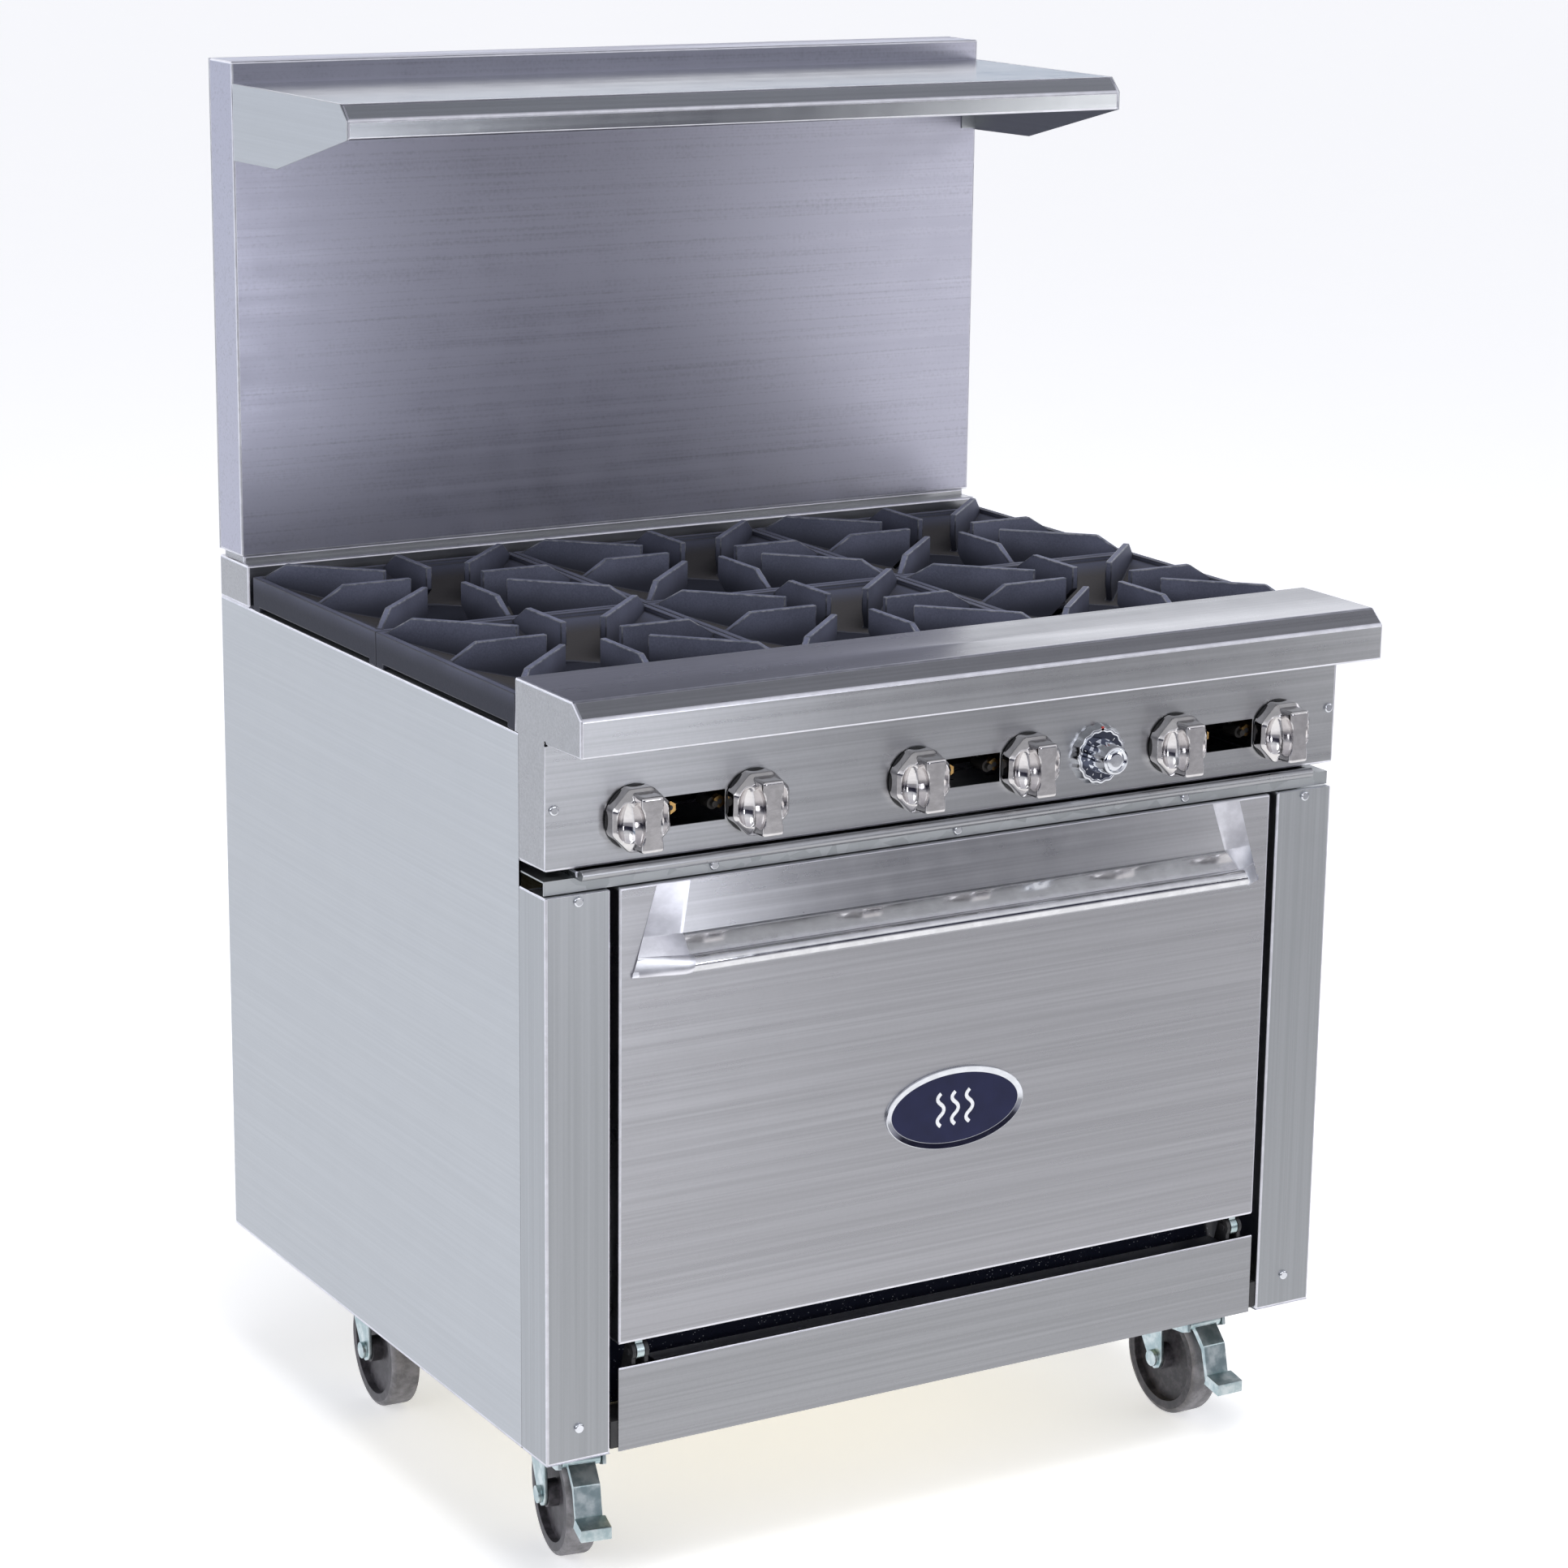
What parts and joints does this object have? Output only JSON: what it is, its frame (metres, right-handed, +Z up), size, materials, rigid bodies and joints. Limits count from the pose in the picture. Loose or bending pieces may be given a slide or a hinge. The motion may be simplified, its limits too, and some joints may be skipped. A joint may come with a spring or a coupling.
{
  "type": "commercial gas range",
  "caption": "Stainless gas range with cast top grates, a drop-down oven door with a full-width handle, a tall back guard with a high shelf, and swivel casters.",
  "frame": {"origin": "on the floor under the middle of the whole range", "axes": "+Z up, -Y out of the front (door and knobs), +X to the right as seen from the front"},
  "size_m": [0.914, 0.836, 1.437],
  "materials": {
    "stainless": "brushed stainless sheet",
    "stainless_guard": "brushed stainless sheet, fine vertical grain",
    "galvanised": "galvanised sheet, hidden and rear panels",
    "frame_steel": "black painted structural steel",
    "cast_iron": "heat-blued cast iron",
    "chrome": "polished cast metal",
    "brass": "turned brass",
    "black_pipe": "black steel pipe",
    "porcelain": "dark porcelain enamel with pale flecks",
    "insulation": "glass-fibre blanket",
    "zinc": "bright zinc plate",
    "wheel": "dark grey caster wheel",
    "badge": "navy enamel in a bright rim"
  },
  "bodies": {
    "body": {"base_frame": "frame_steel", "left_side_panel": "stainless", "right_side_panel": "stainless", "left_front_post": "stainless", "right_front_post": "stainless", "kick_panel": "stainless", "back_panel": "galvanised", "control_panel": "stainless", "oven_top_frame": "galvanised", "body_screws": "zinc", "riser_base": "stainless", "backguard_front": "stainless_guard", "backguard_back": "galvanised", "high_shelf": "stainless", "shelf_brackets": "stainless", "grate_frame": "frame_steel", "burner_bases": "cast_iron", "burner_heads": "cast_iron", "manifold_pipe": "black_pipe", "gas_valves": "brass", "pilot_valves": "brass", "thermostat_bezel": "chrome", "oven_liner": "porcelain", "oven_floor": "porcelain", "oven_burner": "cast_iron", "rack_guides": "chrome", "oven_insulation": "insulation", "hinge_brackets": "frame_steel", "caster_plates": "zinc"},
    "door": {"door_skin": "stainless", "door_liner": "porcelain", "door_insulation": "insulation", "door_handle": "stainless", "door_badge": "badge", "hinge_arms": "zinc"},
    "rack": {"oven_rack": "chrome"},
    "tray": {"crumb_tray": "stainless"},
    "front_left_grate_lift": {"front_left_grate": "cast_iron"},
    "front_middle_grate_lift": {"front_middle_grate": "cast_iron"},
    "front_right_grate_lift": {"front_right_grate": "cast_iron"},
    "back_left_grate_lift": {"back_left_grate": "cast_iron"},
    "back_middle_grate_lift": {"back_middle_grate": "cast_iron"},
    "back_right_grate_lift": {"back_right_grate": "cast_iron"},
    "knob_1": {"burner_knob_1": "chrome"},
    "knob_2": {"burner_knob_2": "chrome"},
    "knob_3": {"burner_knob_3": "chrome"},
    "knob_4": {"burner_knob_4": "chrome"},
    "knob_5": {"burner_knob_5": "chrome"},
    "knob_6": {"burner_knob_6": "chrome"},
    "dial": {"thermostat_dial": "chrome"},
    "front_left_caster": {"front_left_fork": "zinc"},
    "front_left_roller": {"front_left_wheel": "wheel"},
    "front_right_caster": {"front_right_fork": "zinc"},
    "front_right_roller": {"front_right_wheel": "wheel"},
    "back_left_caster": {"back_left_fork": "zinc"},
    "back_left_roller": {"back_left_wheel": "wheel"},
    "back_right_caster": {"back_right_fork": "zinc"},
    "back_right_roller": {"back_right_wheel": "wheel"},
    "front_left_brake": {"front_left_pedal": "zinc"},
    "front_right_brake": {"front_right_pedal": "zinc"}
  },
  "joints": [
    {"name": "door_hinge", "type": "hinge", "parent": "body", "child": "door", "pos_m": [0, -0.338, 0.251], "axis": [1, 0, 0], "range_deg": [0, 90]},
    {"name": "rack_slide", "type": "slide", "parent": "body", "child": "rack", "axis": [0, -1, 0], "range_m": [0, 0.3]},
    {"name": "tray_slide", "type": "slide", "parent": "body", "child": "tray", "axis": [0, -1, 0], "range_m": [0, 0.5]},
    {"name": "front_left_grate_lift_off", "type": "slide", "parent": "body", "child": "front_left_grate_lift", "axis": [0, 0, 1], "range_m": [0, 0.12]},
    {"name": "front_middle_grate_lift_off", "type": "slide", "parent": "body", "child": "front_middle_grate_lift", "axis": [0, 0, 1], "range_m": [0, 0.12]},
    {"name": "front_right_grate_lift_off", "type": "slide", "parent": "body", "child": "front_right_grate_lift", "axis": [0, 0, 1], "range_m": [0, 0.12]},
    {"name": "back_left_grate_lift_off", "type": "slide", "parent": "body", "child": "back_left_grate_lift", "axis": [0, 0, 1], "range_m": [0, 0.12]},
    {"name": "back_middle_grate_lift_off", "type": "slide", "parent": "body", "child": "back_middle_grate_lift", "axis": [0, 0, 1], "range_m": [0, 0.12]},
    {"name": "back_right_grate_lift_off", "type": "slide", "parent": "body", "child": "back_right_grate_lift", "axis": [0, 0, 1], "range_m": [0, 0.12]},
    {"name": "knob_1_turn", "type": "hinge", "parent": "body", "child": "knob_1", "pos_m": [-0.36347, -0.346, 0.788], "axis": [0, -1, 0], "range_deg": [0, 90]},
    {"name": "knob_2_turn", "type": "hinge", "parent": "body", "child": "knob_2", "pos_m": [-0.23447, -0.346, 0.788], "axis": [0, -1, 0], "range_deg": [0, 90]},
    {"name": "knob_3_turn", "type": "hinge", "parent": "body", "child": "knob_3", "pos_m": [-0.053, -0.346, 0.788], "axis": [0, -1, 0], "range_deg": [0, 90]},
    {"name": "knob_4_turn", "type": "hinge", "parent": "body", "child": "knob_4", "pos_m": [0.076, -0.346, 0.788], "axis": [0, -1, 0], "range_deg": [0, 90]},
    {"name": "knob_5_turn", "type": "hinge", "parent": "body", "child": "knob_5", "pos_m": [0.25447, -0.346, 0.788], "axis": [0, -1, 0], "range_deg": [0, 90]},
    {"name": "knob_6_turn", "type": "hinge", "parent": "body", "child": "knob_6", "pos_m": [0.38347, -0.346, 0.788], "axis": [0, -1, 0], "range_deg": [0, 90]},
    {"name": "dial_turn", "type": "hinge", "parent": "body", "child": "dial", "pos_m": [0.16, -0.346, 0.788], "axis": [0, -1, 0], "range_deg": [0, 270]},
    {"name": "front_left_swivel", "type": "hinge", "parent": "body", "child": "front_left_caster", "pos_m": [-0.37, -0.191, 0.132], "axis": [0, 0, 1], "continuous": true},
    {"name": "front_left_roll", "type": "hinge", "parent": "front_left_caster", "child": "front_left_roller", "pos_m": [-0.37608, -0.22547, 0.0635], "axis": [0.9848, -0.1736, 0], "continuous": true},
    {"name": "front_left_brake_press", "type": "hinge", "parent": "front_left_caster", "child": "front_left_brake", "pos_m": [-0.38476, -0.27471, 0.1195], "axis": [0.9848, -0.1736, 0], "range_deg": [0, 10]},
    {"name": "front_right_swivel", "type": "hinge", "parent": "body", "child": "front_right_caster", "pos_m": [0.37, -0.191, 0.132], "axis": [0, 0, 1], "continuous": true},
    {"name": "front_right_roll", "type": "hinge", "parent": "front_right_caster", "child": "front_right_roller", "pos_m": [0.37, -0.226, 0.0635], "axis": [1, 0, 0], "continuous": true},
    {"name": "front_right_brake_press", "type": "hinge", "parent": "front_right_caster", "child": "front_right_brake", "pos_m": [0.37, -0.276, 0.1195], "axis": [1, 0, 0], "range_deg": [0, 10]},
    {"name": "back_left_swivel", "type": "hinge", "parent": "body", "child": "back_left_caster", "pos_m": [-0.37, 0.239, 0.132], "axis": [0, 0, 1], "continuous": true},
    {"name": "back_left_roll", "type": "hinge", "parent": "back_left_caster", "child": "back_left_roller", "pos_m": [-0.37244, 0.20408, 0.0635], "axis": [0.9976, -0.0698, 0], "continuous": true},
    {"name": "back_right_swivel", "type": "hinge", "parent": "body", "child": "back_right_caster", "pos_m": [0.37, 0.239, 0.132], "axis": [0, 0, 1], "continuous": true},
    {"name": "back_right_roll", "type": "hinge", "parent": "back_right_caster", "child": "back_right_roller", "pos_m": [0.37366, 0.20419, 0.0635], "axis": [0.9945, 0.1045, 0], "continuous": true}
  ],
  "couplings": [
    {"joint": "rack_slide", "follows": "door_hinge", "m_per_rad": 0.19}
  ]
}
